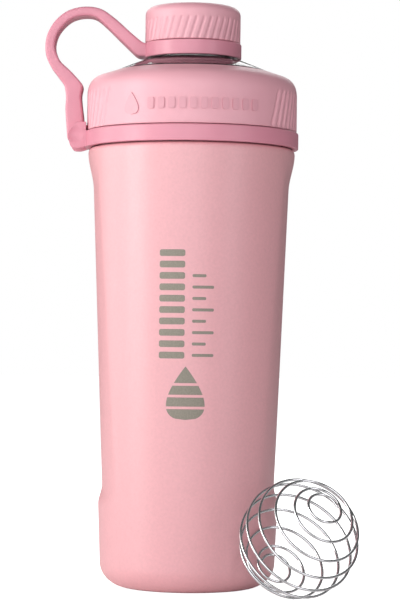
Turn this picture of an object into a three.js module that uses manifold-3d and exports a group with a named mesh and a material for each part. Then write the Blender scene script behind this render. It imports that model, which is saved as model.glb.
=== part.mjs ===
// Insulated steel shaker bottle with a screw lid, a screw cap on a spout, a carry loop and a loose wire whisk ball.
// Millimetres, +Z up, origin at the centre of the bottle's flat underside, front of the bottle towards -Y.
import * as THREE from "three";
import Module from "manifold-3d";
import { mergeVertices } from "three/addons/utils/BufferGeometryUtils.js";

const wasm = await Module();
wasm.setup();

// Clearance between neighbouring pieces that touch on the real object.
const GAP = 0.3;

// Facets round a full turn of a large and of a small round piece.
const LARGE_SIDES = 40;
const SMALL_SIDES = 32;

// Bottle body: a slightly tapered round shell that stands on a flat foot.
const SHELL_WALL = 0.9;
const BASE_RADIUS = 38.75;
const TAPER = 0.0392;
const FOOT_RADIUS = 26.6;
const FOOT_ROUND_HEIGHT = 11.1;
const SHOULDER_Z = 193.7;
const SHOULDER_TOP_Z = 196.0;
const NECK_RADIUS = 40.3;
const NECK_TOP_Z = 208.4;

// Grip recess pressed into the body at +X and at -X.
const GRIP_DEPTH = 2.0;
const GRIP_LOW_Z = [36.7, 45.6];
const GRIP_HIGH_Z = [178, 193];
const GRIP_HALF_ANGLE_LOW = THREE.MathUtils.degToRad(38.7);
const GRIP_HALF_ANGLE_HIGH = THREE.MathUtils.degToRad(27.3);

// Inner liner, hung from the rim, with the vacuum space between it and the shell.
const LINER_WALL = 0.8;
const LINER_INSET = 5.2;
const LINER_FLOOR_Z = 8.8;
const LINER_ROUND = 12;
const LINER_NECK_RADIUS = 39.0;
const LINER_NECK_Z = 196;
const RIM_Z = 209.7;

// Underside: flat cover plate, evacuation port and getter.
const PLATE_RADIUS = 25.8;
const PLATE_THICKNESS = 1.2;
const PORT_RADIUS = 1.6;
const GETTER_RADIUS = 9;
const GETTER_THICKNESS = 2.2;

// Screw thread between the lid and the neck: round section, single start.
const LID_PITCH = 4;
const LID_THREAD_TURNS = 0.75;
const LID_THREAD_SECTION = 1.1;
const NECK_THREAD_RADIUS = NECK_RADIUS + 0.4;
const NECK_THREAD_Z = 201.2;

// Lid: clear threaded core under a ribbed, coloured outer shell.
const LID_BOTTOM_Z = 203.8;
const LID_RADIUS = 47.1;
const LID_WALL = 2.0;
const LID_OPENING_RADIUS = 34.3;
const LID_OPENING_Z = 230.7;
const CORE_BOTTOM_Z = 196.8;
const CORE_RADIUS = 44.8;
const CORE_INNER_RADIUS = 42.5;
const CORE_THREAD_RADIUS = CORE_INNER_RADIUS - 0.3;
const CORE_CONE_RADIUS = 21.5;
const CORE_CONE_Z = 236.0;
const SEAL_LEDGE_Z = 212.8;
const SEAL_LEDGE_RADIUS = 38.0;

// Drinking spout, part of the core.
const SPOUT_RADIUS = 16.6;
const SPOUT_WALL = 1.6;
const SPOUT_TOP_Z = 255;
const SPOUT_ROOT_Z = 235.2;
const CAP_PITCH = 3.6;
const CAP_THREAD_TURNS = 2 / 3;
const CAP_THREAD_SECTION = 0.9;
const SPOUT_THREAD_RADIUS = SPOUT_RADIUS + 0.3;
const SPOUT_THREAD_Z = 246;

// Cap: threaded core under a ribbed outer shell.
const CAP_RADIUS = 21.4;
const CAP_BOTTOM_Z = 243.6;
const CAP_TOP_Z = 260;
const CAP_ROUND = 4.5;
const CAP_ROUND_HEIGHT = 3.8;
const CAP_TOP_THICKNESS = 1.3;
const CAP_INNER_RADIUS = 19.8;
const CAP_CORE_RADIUS = CAP_INNER_RADIUS - GAP;
const CAP_CORE_INNER_RADIUS = 18.2;
const CAP_CORE_BOTTOM_Z = 236.5;
const CAP_CORE_CEILING_Z = 257.2;
const CAP_THREAD_RADIUS = CAP_CORE_INNER_RADIUS - 0.2;

// Tether ring round the foot of the cap.
const TETHER_RADIUS = 21.9;
const TETHER_INNER_RADIUS = 19.9;
const TETHER_Z = [236.8, 243.3];

// Loop base ring round the foot of the lid, with two ears for the carry loop's hinge pin at -X.
const RING_RADIUS = 47.9;
const RING_INNER_RADIUS = CORE_RADIUS + GAP;
const RING_Z = [196.5, 203.5];
const LOOP_HALF_WIDTH = 6.5;
const EAR_THICKNESS = 3;
const HINGE = { x: -52, z: 201.3 };
const PIN_RADIUS = 1.5;
const LOOP_END_RADIUS = 3.8;

// Whisk ball: one round wire wound from the upper pole to the lower one, with a part turn of plain ring at each.
const BALL_RADIUS = 26;
const WIRE_RADIUS = 0.6;
const BALL_TURNS = 7.92;
const BALL_RING_TURNS = 0.76;
const BALL_RING_ANGLE = 0.275;
const BALL_STEPS = 160;
const BALL_CENTRE = { x: 48, y: -45.7 };
const BALL_POLE = new THREE.Vector3(0.382, -0.712, 0.589);

const FINISH = {
  coat: { color: 0xe3a3ab, roughness: 0.5, metalness: 0.1 },
  lid: { color: 0xeaa9b6, roughness: 0.55, metalness: 0 },
  loop: { color: 0xdf8c9f, roughness: 0.5, metalness: 0 },
  clear: { color: 0xf4eef0, roughness: 0.05, metalness: 0, transparent: true, opacity: 0.35 },
  steel: { color: 0xc9cacb, roughness: 0.3, metalness: 1 },
  wire: { color: 0xd6d8da, roughness: 0.12, metalness: 1 },
  silicone: { color: 0xf1f1ef, roughness: 0.7, metalness: 0 },
  getter: { color: 0x8a8c90, roughness: 0.6, metalness: 0.8 },
};

// Merges a geometry's shared vertices and drops triangles without area.
function clean(geometry) {
  geometry.deleteAttribute("normal");
  geometry.deleteAttribute("uv");
  const merged = mergeVertices(geometry, 1e-4);
  const index = Array.from(merged.index.array);
  const kept = [];
  for (let i = 0; i < index.length; i += 3) {
    const [a, b, c] = index.slice(i, i + 3);
    if (a !== b && b !== c && c !== a) kept.push(a, b, c);
  }
  merged.setIndex(kept);
  return merged;
}

function toSolid(geometry) {
  const merged = clean(geometry);
  const mesh = new wasm.Mesh({
    numProp: 3,
    vertProperties: new Float32Array(merged.attributes.position.array),
    triVerts: new Uint32Array(merged.index.array),
  });
  return new wasm.Manifold(mesh);
}

function toGeometry(solid) {
  const mesh = solid.getMesh();
  const geometry = new THREE.BufferGeometry();
  geometry.setAttribute("position", new THREE.BufferAttribute(mesh.vertProperties, 3));
  geometry.setIndex(new THREE.BufferAttribute(mesh.triVerts, 1));
  return geometry;
}

// Revolves a closed outline of [radius, height] points, listed anticlockwise, about Z.
function revolve(outline, sides) {
  const points = outline.map(([radius, height]) => new THREE.Vector2(radius, height));
  const onAxis = outline[0][0] === 0 && outline.at(-1)[0] === 0;
  if (!onAxis) points.push(points[0].clone());
  const geometry = new THREE.LatheGeometry(points, sides);
  geometry.rotateX(Math.PI / 2);
  return clean(geometry);
}

// Points of an elliptical arc from angle a to angle b in degrees, as [radius, height].
function arc(centreRadius, centreZ, width, height, a, b, steps) {
  const points = [];
  for (let i = 0; i <= steps; i += 1) {
    const angle = THREE.MathUtils.degToRad(a + ((b - a) * i) / steps);
    points.push([centreRadius + width * Math.cos(angle), centreZ + height * Math.sin(angle)]);
  }
  return points;
}

// Extrudes an outline in the XZ plane between two Y positions.
function extrudeAlongY(shape, yLow, yHigh, curveSegments = 12) {
  const options = { depth: yHigh - yLow, bevelEnabled: false, curveSegments };
  const geometry = new THREE.ExtrudeGeometry(shape, options);
  geometry.rotateX(Math.PI / 2);
  geometry.translate(0, yHigh, 0);
  return geometry;
}

function cylinderAlongY(x, z, radius, halfLength, sides) {
  const geometry = new THREE.CylinderGeometry(radius, radius, 2 * halfLength, sides);
  geometry.translate(x, 0, z);
  return geometry;
}

class Helix extends THREE.Curve {
  constructor(radius, pitch, turns, lowZ) {
    super();
    Object.assign(this, { radius, pitch, turns, lowZ });
  }

  getPoint(t, target = new THREE.Vector3()) {
    const angle = 2 * Math.PI * this.turns * t;
    const z = this.lowZ + this.pitch * this.turns * t;
    return target.set(this.radius * Math.cos(angle), this.radius * Math.sin(angle), z);
  }
}

// Spiral on a sphere round BALL_POLE, starting in the horizontal direction across the pole.
class SphereSpiral extends THREE.Curve {
  constructor() {
    super();
    const pole = BALL_POLE.clone().normalize();
    const across = new THREE.Vector3(0, 0, 1).cross(pole).normalize();
    this.axes = new THREE.Matrix4().makeBasis(across, pole.clone().cross(across), pole);
  }

  getPoint(t, target = new THREE.Vector3()) {
    const turns = (BALL_TURNS + 2 * BALL_RING_TURNS) * t;
    const along = THREE.MathUtils.clamp((turns - BALL_RING_TURNS) / BALL_TURNS, 0, 1);
    const polar = THREE.MathUtils.lerp(BALL_RING_ANGLE, Math.PI - BALL_RING_ANGLE, along);
    const turn = 2 * Math.PI * turns;
    const radius = BALL_RADIUS - WIRE_RADIUS;
    const ring = radius * Math.sin(polar);
    target.set(ring * Math.cos(turn), ring * Math.sin(turn), radius * Math.cos(polar));
    return target.applyMatrix4(this.axes);
  }
}

function wire(curve, radius, steps, sides) {
  const section = new THREE.Shape().absellipse(0, 0, radius, radius, 0, 2 * Math.PI);
  const polygon = new THREE.Shape(section.getSpacedPoints(sides).slice(0, sides));
  return new THREE.ExtrudeGeometry(polygon, { steps, extrudePath: curve });
}

function thread(radius, pitch, turns, lowZ, section) {
  const steps = Math.ceil(36 * turns);
  return toSolid(wire(new Helix(radius, pitch, turns, lowZ), section, steps, 6));
}

function bodyRadius(z) {
  return BASE_RADIUS + TAPER * z;
}

// Depth of the grip recess at a height and at an angle from the nearer side, +X or -X.
function gripDepth(z, angle) {
  const rise = THREE.MathUtils.smoothstep(z, GRIP_LOW_Z[0], GRIP_LOW_Z[1]);
  const fall = 1 - THREE.MathUtils.smoothstep(z, GRIP_HIGH_Z[0], GRIP_HIGH_Z[1]);
  const along = (z - GRIP_LOW_Z[1]) / (GRIP_HIGH_Z[0] - GRIP_LOW_Z[1]);
  const halfAngle = THREE.MathUtils.lerp(GRIP_HALF_ANGLE_LOW, GRIP_HALF_ANGLE_HIGH, along);
  return GRIP_DEPTH * rise * fall * Math.max(0, 1 - (angle / halfAngle) ** 2);
}

function pressGrip(geometry) {
  const position = geometry.attributes.position;
  for (let i = 0; i < position.count; i += 1) {
    const [x, y, z] = [position.getX(i), position.getY(i), position.getZ(i)];
    const radius = Math.hypot(x, y);
    if (radius < FOOT_RADIUS) continue;
    const factor = 1 - gripDepth(z, Math.atan2(Math.abs(y), Math.abs(x))) / radius;
    position.setXYZ(i, x * factor, y * factor, z);
  }
  return geometry;
}

function outerShell() {
  const levels = [14, GRIP_LOW_Z[0], 41, GRIP_LOW_Z[1], 80, 115, 150, GRIP_HIGH_Z[0], 185.5];
  const footWidth = bodyRadius(FOOT_ROUND_HEIGHT) - FOOT_RADIUS;
  const outer = [
    ...arc(FOOT_RADIUS, FOOT_ROUND_HEIGHT, footWidth, FOOT_ROUND_HEIGHT, -90, 0, 4),
    ...levels.map((z) => [bodyRadius(z), z]),
    [bodyRadius(SHOULDER_Z), SHOULDER_Z],
    [bodyRadius(SHOULDER_Z) - 1.4, SHOULDER_TOP_Z],
    [NECK_RADIUS, SHOULDER_TOP_Z + 0.2],
    [NECK_RADIUS, NECK_TOP_Z],
  ];
  const inner = [
    [NECK_RADIUS - SHELL_WALL, NECK_TOP_Z],
    [NECK_RADIUS - SHELL_WALL, SHOULDER_TOP_Z - SHELL_WALL],
    [bodyRadius(SHOULDER_Z) - 2, SHOULDER_TOP_Z - SHELL_WALL - 0.2],
    ...levels.toReversed().map((z) => [bodyRadius(z) - SHELL_WALL, z]),
    [bodyRadius(FOOT_ROUND_HEIGHT) - SHELL_WALL - 1, FOOT_ROUND_HEIGHT - 2],
    [FOOT_RADIUS + 3, PLATE_THICKNESS + GAP + SHELL_WALL],
    [PORT_RADIUS, PLATE_THICKNESS + GAP + SHELL_WALL],
    [PORT_RADIUS, PLATE_THICKNESS + GAP],
    [PLATE_RADIUS + GAP, PLATE_THICKNESS + GAP],
    [PLATE_RADIUS + GAP, 0],
  ];
  const shell = toSolid(pressGrip(revolve([...outer, ...inner], LARGE_SIDES)));
  const turns = LID_THREAD_TURNS;
  return shell.add(thread(NECK_THREAD_RADIUS, LID_PITCH, turns, NECK_THREAD_Z, LID_THREAD_SECTION));
}

function innerLiner() {
  const wallRadius = (z) => bodyRadius(z) - LINER_INSET;
  const lowZ = LINER_FLOOR_Z + LINER_ROUND;
  const topZ = 184;
  const underside = LINER_FLOOR_Z - LINER_WALL;
  const roundWidth = LINER_ROUND + LINER_WALL;
  const outlineOut = [
    [0, underside],
    ...arc(wallRadius(lowZ) - roundWidth, lowZ, roundWidth, roundWidth, -90, 0, 4),
    [wallRadius(topZ), topZ],
    [LINER_NECK_RADIUS, LINER_NECK_Z],
    [LINER_NECK_RADIUS, NECK_TOP_Z + GAP],
    [NECK_RADIUS, NECK_TOP_Z + GAP],
    [NECK_RADIUS, RIM_Z],
  ];
  const outlineIn = [
    [LINER_NECK_RADIUS - LINER_WALL, RIM_Z],
    [LINER_NECK_RADIUS - LINER_WALL, LINER_NECK_Z],
    [wallRadius(topZ) - LINER_WALL, topZ],
    ...arc(wallRadius(lowZ) - roundWidth, lowZ, LINER_ROUND, LINER_ROUND, 0, -90, 4),
    [0, LINER_FLOOR_Z],
  ];
  return revolve([...outlineOut, ...outlineIn], LARGE_SIDES);
}

function basePlate() {
  const outline = [
    [0, 0],
    [19, 0],
    [19.6, 0.5],
    [21.4, 0.5],
    [22, 0],
    [PLATE_RADIUS, 0],
    [PLATE_RADIUS, PLATE_THICKNESS],
    [0, PLATE_THICKNESS],
  ];
  return revolve(outline, SMALL_SIDES);
}

function portSeal() {
  const low = PLATE_THICKNESS + GAP;
  const radius = PORT_RADIUS - GAP;
  return revolve([[0, low], [radius, low], [radius, low + 1.4], [0, low + 2]], 16);
}

function vacuumGetter() {
  const high = LINER_FLOOR_Z - LINER_WALL - GAP;
  const low = high - GETTER_THICKNESS;
  const outline = [[0, low], [GETTER_RADIUS - 1, low], [GETTER_RADIUS, low + 1], [GETTER_RADIUS, high], [0, high]];
  return revolve(outline, 24);
}

// Rounded shoulder of the lid from its side wall to its sloping top, inset from the outer surface.
function lidShoulder(inset) {
  const radius = LID_RADIUS - inset;
  const start = new THREE.Vector2(radius, 219.5);
  const corner = new THREE.Vector2(radius, 226.2 - inset);
  const end = new THREE.Vector2(radius - 4.6 + 0.6 * inset, 228 - inset);
  const points = new THREE.QuadraticBezierCurve(start, corner, end).getPoints(4);
  return points.map((point) => [point.x, point.y]);
}

function lidShell() {
  const outline = [
    [LID_RADIUS, LID_BOTTOM_Z],
    ...lidShoulder(0),
    [LID_OPENING_RADIUS, LID_OPENING_Z],
    [LID_OPENING_RADIUS, LID_OPENING_Z - LID_WALL],
    ...lidShoulder(LID_WALL).reverse(),
    [LID_RADIUS - LID_WALL, LID_BOTTOM_Z],
  ];
  return revolve(outline, LARGE_SIDES);
}

function lidCore() {
  const outset = LID_WALL + GAP;
  const wall = 2.2;
  const lip = LID_OPENING_RADIUS - GAP;
  const outline = [
    [CORE_RADIUS, CORE_BOTTOM_Z],
    ...lidShoulder(outset),
    [lip, LID_OPENING_Z - LID_WALL - 0.2],
    [lip, LID_OPENING_Z - 0.2],
    [CORE_CONE_RADIUS, CORE_CONE_Z],
    [CORE_CONE_RADIUS - 0.8, SPOUT_ROOT_Z],
    [SPOUT_RADIUS, SPOUT_ROOT_Z],
    [SPOUT_RADIUS, SPOUT_TOP_Z],
    [SPOUT_RADIUS - SPOUT_WALL, SPOUT_TOP_Z],
    [SPOUT_RADIUS - SPOUT_WALL, SPOUT_ROOT_Z - wall],
    [CORE_CONE_RADIUS, CORE_CONE_Z - 1.2 * wall],
    [lip - 1, LID_OPENING_Z - LID_WALL - wall],
    ...lidShoulder(outset + wall).slice(1).reverse(),
    [CORE_INNER_RADIUS, 217],
    [SEAL_LEDGE_RADIUS, SEAL_LEDGE_Z + 1.8],
    [SEAL_LEDGE_RADIUS, SEAL_LEDGE_Z],
    [CORE_INNER_RADIUS, SEAL_LEDGE_Z],
    [CORE_INNER_RADIUS, CORE_BOTTOM_Z],
  ];
  const lidThreadZ = NECK_THREAD_Z - LID_PITCH / 2;
  const lidThread = thread(CORE_THREAD_RADIUS, LID_PITCH, LID_THREAD_TURNS, lidThreadZ, LID_THREAD_SECTION);
  const turns = CAP_THREAD_TURNS;
  const spoutThread = thread(SPOUT_THREAD_RADIUS, CAP_PITCH, turns, SPOUT_THREAD_Z, CAP_THREAD_SECTION);
  return toSolid(revolve(outline, LARGE_SIDES)).add(lidThread).add(spoutThread);
}

function lidSeal() {
  const low = RIM_Z + GAP;
  const high = SEAL_LEDGE_Z - GAP;
  const outline = [
    [SEAL_LEDGE_RADIUS - 0.1, low + 0.5],
    [SEAL_LEDGE_RADIUS + 0.9, low],
    [CORE_INNER_RADIUS - 0.5, low],
    [CORE_INNER_RADIUS - 0.5, high],
    [SEAL_LEDGE_RADIUS - 0.1, high],
  ];
  return revolve(outline, SMALL_SIDES);
}

function capShell() {
  const roundRadius = CAP_RADIUS - CAP_ROUND;
  const ceiling = CAP_TOP_Z - CAP_TOP_THICKNESS;
  const outline = [
    [CAP_RADIUS, CAP_BOTTOM_Z],
    ...arc(roundRadius, CAP_TOP_Z - CAP_ROUND_HEIGHT, CAP_ROUND, CAP_ROUND_HEIGHT, 0, 90, 4),
    [0, CAP_TOP_Z],
    [0, ceiling],
    [CAP_INNER_RADIUS - 2.6, ceiling],
    [CAP_INNER_RADIUS, ceiling - 2.6],
    [CAP_INNER_RADIUS, CAP_BOTTOM_Z],
  ];
  return revolve(rollToAxis(outline), SMALL_SIDES);
}

// Turns a closed outline round so that it starts and ends on the axis.
function rollToAxis(outline) {
  const last = outline.findLastIndex(([radius]) => radius === 0);
  return [...outline.slice(last), ...outline.slice(0, last)];
}

function capCore() {
  const top = CAP_TOP_Z - CAP_TOP_THICKNESS - GAP;
  const outline = [
    [0, CAP_CORE_CEILING_Z],
    [CAP_CORE_INNER_RADIUS, CAP_CORE_CEILING_Z],
    [CAP_CORE_INNER_RADIUS, CAP_CORE_BOTTOM_Z],
    [TETHER_INNER_RADIUS + 0.7, CAP_CORE_BOTTOM_Z],
    [TETHER_INNER_RADIUS + 0.7, CAP_CORE_BOTTOM_Z + 0.7],
    [CAP_CORE_RADIUS, CAP_CORE_BOTTOM_Z + 0.7],
    [CAP_CORE_RADIUS, top - 2.6],
    [CAP_CORE_RADIUS - 2.6, top],
    [0, top],
  ];
  const threadZ = SPOUT_THREAD_Z - CAP_PITCH / 2;
  const inner = thread(CAP_THREAD_RADIUS, CAP_PITCH, CAP_THREAD_TURNS, threadZ, CAP_THREAD_SECTION);
  return toSolid(revolve(outline, SMALL_SIDES)).add(inner);
}

function capSeal() {
  const low = SPOUT_TOP_Z + GAP;
  const high = CAP_CORE_CEILING_Z - GAP;
  const radius = CAP_CORE_INNER_RADIUS - GAP;
  return revolve([[0, low], [radius, low], [radius, high], [0, high]], 24);
}

function tetherRing() {
  const [low, high] = TETHER_Z;
  const counterbore = TETHER_INNER_RADIUS + 1.0;
  const outline = [
    [counterbore, low],
    [TETHER_RADIUS, low],
    [TETHER_RADIUS, high],
    [TETHER_INNER_RADIUS, high],
    [TETHER_INNER_RADIUS, low + 0.8],
    [counterbore, low + 0.8],
  ];
  return revolve(outline, SMALL_SIDES);
}

// Ear seen from the front, with its rounded foot, upright outer edge and slanted upper corner.
function earShape() {
  const wallX = -(LID_RADIUS + 0.05);
  const shape = new THREE.Shape();
  shape.moveTo(wallX, 207.3);
  shape.lineTo(-51.6, 207.3);
  shape.lineTo(-55.2, 202.3);
  shape.lineTo(-54.9, 199.3);
  shape.quadraticCurveTo(-54.2, 195.5, -50.6, 195.4);
  shape.lineTo(-46.2, 196.5);
  shape.lineTo(-46.2, RING_Z[1]);
  shape.lineTo(wallX, RING_Z[1]);
  return shape;
}

function loopBaseRing() {
  const [low, high] = RING_Z;
  const outline = [[RING_INNER_RADIUS, low], [RING_RADIUS, low], [RING_RADIUS, high], [RING_INNER_RADIUS, high]];
  const ring = toSolid(revolve(outline, LARGE_SIDES));
  const near = LOOP_HALF_WIDTH + GAP;
  const far = near + EAR_THICKNESS;
  const front = toSolid(extrudeAlongY(earShape(), -far, -near, 4));
  const back = toSolid(extrudeAlongY(earShape(), near, far, 4));
  const pinHole = toSolid(cylinderAlongY(HINGE.x, HINGE.z, PIN_RADIUS + GAP, near + 2, 12));
  return ring.add(front).add(back).subtract(pinHole);
}

function hingePin() {
  return cylinderAlongY(HINGE.x, HINGE.z, PIN_RADIUS, LOOP_HALF_WIDTH + 2, 12);
}

// Outline of the carry loop from the front: up from the hinge, round the arch and down to the tether ring.
function loopShape() {
  const outer = new THREE.SplineCurve([
    new THREE.Vector2(HINGE.x - LOOP_END_RADIUS, HINGE.z),
    new THREE.Vector2(-56.6, 213),
    new THREE.Vector2(-57.2, 223.5),
    new THREE.Vector2(-60.9, 228.8),
    new THREE.Vector2(-65.2, 235.6),
    new THREE.Vector2(-66.1, 243.4),
    new THREE.Vector2(-63.0, 251.3),
    new THREE.Vector2(-56.6, 257.2),
    new THREE.Vector2(-48.4, 259.4),
    new THREE.Vector2(-40.6, 258.1),
    new THREE.Vector2(-33.7, 253.2),
    new THREE.Vector2(-25.6, 246.1),
    new THREE.Vector2(-20.5, 242.9),
  ]);
  const under = new THREE.SplineCurve([
    new THREE.Vector2(-20.5, 236.9),
    new THREE.Vector2(-24.2, 237.3),
    new THREE.Vector2(-30.6, 242.7),
    new THREE.Vector2(-37.4, 249.8),
    new THREE.Vector2(-42.7, 254.3),
    new THREE.Vector2(-49.5, 255.3),
    new THREE.Vector2(-56.6, 252.2),
    new THREE.Vector2(-60.7, 247.1),
    new THREE.Vector2(-61.7, 241.5),
    new THREE.Vector2(-59.4, 234.4),
    new THREE.Vector2(-52.5, 228.0),
    new THREE.Vector2(-49.0, 224.0),
  ]);
  const heel = [new THREE.Vector2(-49.6, 220), new THREE.Vector2(-49.3, 214.5)];
  const end = arc(HINGE.x, HINGE.z, LOOP_END_RADIUS, LOOP_END_RADIUS, 0, -180, 8);
  const foot = end.slice(0, -1).map(([x, z]) => new THREE.Vector2(x, z));
  return new THREE.Shape([...outer.getPoints(36), ...under.getPoints(33), ...heel, ...foot]);
}

function carryLoop() {
  const loop = toSolid(extrudeAlongY(loopShape(), -LOOP_HALF_WIDTH, LOOP_HALF_WIDTH));
  const pinHole = toSolid(cylinderAlongY(HINGE.x, HINGE.z, PIN_RADIUS + GAP, 2 * LOOP_HALF_WIDTH, 12));
  const seat = TETHER_RADIUS + GAP + 0.1;
  const ringSpace = new THREE.CylinderGeometry(seat, seat, 30, LARGE_SIDES);
  ringSpace.rotateX(Math.PI / 2);
  ringSpace.translate(0, 0, TETHER_Z[0]);
  return loop.subtract(pinHole).subtract(toSolid(ringSpace));
}

// The whisk ball stands on the same surface as the bottle, beside its foot.
function whiskBall() {
  const geometry = clean(wire(new SphereSpiral(), WIRE_RADIUS, BALL_STEPS, 6));
  geometry.computeBoundingBox();
  geometry.translate(BALL_CENTRE.x, BALL_CENTRE.y, -geometry.boundingBox.min.z);
  return geometry;
}

function piece(name, shape, finish) {
  const geometry = shape.isBufferGeometry ? clean(shape) : toGeometry(shape);
  geometry.computeVertexNormals();
  const mesh = new THREE.Mesh(geometry, new THREE.MeshStandardMaterial(FINISH[finish]));
  mesh.name = name;
  return mesh;
}

const bottle = new THREE.Group();
bottle.add(
  piece("outer_shell", outerShell(), "coat"),
  piece("inner_liner", innerLiner(), "steel"),
  piece("base_plate", basePlate(), "steel"),
  piece("vacuum_port_seal", portSeal(), "getter"),
  piece("vacuum_getter", vacuumGetter(), "getter"),
);

const lid = new THREE.Group();
lid.add(
  piece("lid_core", lidCore(), "clear"),
  piece("lid_shell", lidShell(), "lid"),
  piece("lid_seal", lidSeal(), "silicone"),
  piece("loop_base_ring", loopBaseRing(), "loop"),
  piece("hinge_pin", hingePin(), "steel"),
  piece("carry_loop", carryLoop(), "loop"),
);

const cap = new THREE.Group();
cap.add(
  piece("tether_ring", tetherRing(), "loop"),
  piece("cap_shell", capShell(), "lid"),
  piece("cap_core", capCore(), "clear"),
  piece("cap_seal", capSeal(), "silicone"),
);

const shaker = new THREE.Group();
shaker.add(bottle, lid, cap, piece("whisk_ball", whiskBall(), "wire"));

export default shaker;
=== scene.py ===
"""Looks of an insulated steel shaker bottle: screw lid, screw cap, carry loop and a loose wire whisk ball.

Outlines are in millimetres, in the frame's axes: +Z up, the bottle's front towards -Y, the carry loop at -X.
"""

import math

import bmesh
import bpy
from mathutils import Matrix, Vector
from mathutils.geometry import interpolate_bezier


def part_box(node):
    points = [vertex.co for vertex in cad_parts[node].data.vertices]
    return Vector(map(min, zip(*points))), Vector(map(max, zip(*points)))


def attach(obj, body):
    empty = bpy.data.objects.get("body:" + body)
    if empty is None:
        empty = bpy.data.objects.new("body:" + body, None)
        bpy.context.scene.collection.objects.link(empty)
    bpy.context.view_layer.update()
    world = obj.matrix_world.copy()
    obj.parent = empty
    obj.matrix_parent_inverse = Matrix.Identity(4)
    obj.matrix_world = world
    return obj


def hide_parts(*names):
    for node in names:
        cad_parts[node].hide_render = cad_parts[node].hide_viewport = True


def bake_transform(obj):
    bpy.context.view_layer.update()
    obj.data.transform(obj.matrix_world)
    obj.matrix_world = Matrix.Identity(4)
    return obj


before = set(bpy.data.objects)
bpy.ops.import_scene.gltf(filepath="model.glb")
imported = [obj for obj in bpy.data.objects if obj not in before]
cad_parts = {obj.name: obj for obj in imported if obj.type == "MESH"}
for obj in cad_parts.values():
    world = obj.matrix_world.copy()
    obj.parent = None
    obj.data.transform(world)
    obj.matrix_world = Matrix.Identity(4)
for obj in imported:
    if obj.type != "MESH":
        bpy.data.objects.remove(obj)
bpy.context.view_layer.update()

MM = 0.001


def cad_size(node):
    """Radius, lowest and highest Z of a round CAD node, in millimetres."""
    low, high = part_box(node)
    return (high.x - low.x) / 2 / MM, low.z / MM, high.z / MM


# Driving sizes, read from the frame where it holds them.
NECK_TOP_Z = cad_size("outer_shell")[2]
LID_RADIUS, LID_LOW_Z, LID_HIGH_Z = cad_size("lid_shell")
CORE_RADIUS, CORE_LOW_Z, SPOUT_TOP_Z = cad_size("lid_core")
CAP_RADIUS, CAP_LOW_Z, CAP_TOP_Z = cad_size("cap_shell")
TETHER_RADIUS, TETHER_LOW_Z, TETHER_HIGH_Z = cad_size("tether_ring")
RIM_Z = cad_size("inner_liner")[2]
SEAL_LOW_Z, SEAL_HIGH_Z = cad_size("lid_seal")[1:]
PLATE_RADIUS, PLATE_LOW_Z, PLATE_HIGH_Z = cad_size("base_plate")
CAP_CORE_LOW_Z, CAP_CORE_HIGH_Z = cad_size("cap_core")[1:]
RING_LOW_Z, RING_HIGH_Z = 196.5, 203.5
RING_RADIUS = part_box("loop_base_ring")[1].x / MM
LOOP_HALF_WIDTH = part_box("carry_loop")[1].y / MM
EAR_THICKNESS = 3
HINGE_X = (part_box("hinge_pin")[0].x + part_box("hinge_pin")[1].x) / 2 / MM
HINGE_Z = (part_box("hinge_pin")[0].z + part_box("hinge_pin")[1].z) / 2 / MM
BALL_LOW, BALL_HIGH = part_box("whisk_ball")

# Body: cone, foot and grip recesses.
BASE_RADIUS = 38.75
TAPER = 0.0392
SHELL_WALL = 0.9
FOOT_RADIUS = 26.6
FOOT_HEIGHT = 11.1
SHOULDER_Z = 193.7
SHOULDER_TOP_Z = 196.0
NECK_RADIUS = 40.3
GRIP_DEPTH = 2.0
GRIP_LOW_Z = (36.7, 45.6)
GRIP_HIGH_Z = (178, 193)
GRIP_HALF_ANGLE = (math.radians(38.7), math.radians(27.3))
CREASE_SOFTNESS = 0.0015

# Lid, spout and the two screw threads.
GAP = 0.3
LID_WALL = 2.0
LID_OPENING_RADIUS = 34.3
SPOUT_RADIUS = 16.6
CORE_THREAD_RADIUS = 42.2
LID_PITCH = 4
LID_THREAD_TURNS = 0.75
CAP_PITCH = 3.6
CAP_THREAD_TURNS = 2 / 3

# Slanted ribs on the lid's sides and round the cap.
RIB_LEAN = math.tan(math.radians(17.2))
LID_RIB_PITCH = 4.1
LID_RIB_DEPTH = 0.75
LID_RIB_Z = (LID_LOW_Z + 0.6, 221.0)
LID_RIB_ZONES = ((44.5, 134.5), (-140.0, -55.0))
CAP_RIBS = 40
CAP_RIB_DEPTH = 0.42
CAP_RIB_Z = (CAP_LOW_Z, 254.2)

# Whisk ball: a wire wound from the upper pole to the lower one, with a part turn of plain ring at each.
BALL_RADIUS = 26
WIRE_RADIUS = 0.6
BALL_TURNS = 7.92
BALL_RING_TURNS = 0.76
BALL_RING_ANGLE = 0.275
BALL_POLE = Vector((0.382, -0.712, 0.589)).normalized()


# ---------------------------------------------------------------- meshes


def make_piece(name, verts, faces, material, sharp_angle=38):
    """A smooth-shaded mesh object from points in millimetres; edges sharper than sharp_angle stay crisp."""
    mesh = bpy.data.meshes.new(name)
    mesh.from_pydata([tuple(float(c) * MM for c in v) for v in verts], [], faces)
    mesh.materials.append(material)
    obj = bpy.data.objects.new(name, mesh)
    bpy.context.scene.collection.objects.link(obj)
    finish_mesh(obj, sharp_angle)
    return obj


def finish_mesh(obj, sharp_angle=38):
    work = bmesh.new()
    work.from_mesh(obj.data)
    bmesh.ops.remove_doubles(work, verts=work.verts, dist=1e-7)
    bmesh.ops.recalc_face_normals(work, faces=work.faces)
    limit = math.radians(sharp_angle)
    for face in work.faces:
        face.smooth = True
    for edge in work.edges:
        edge.smooth = len(edge.link_faces) == 2 and edge.calc_face_angle(0) < limit
    work.to_mesh(obj.data)
    work.free()


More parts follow.
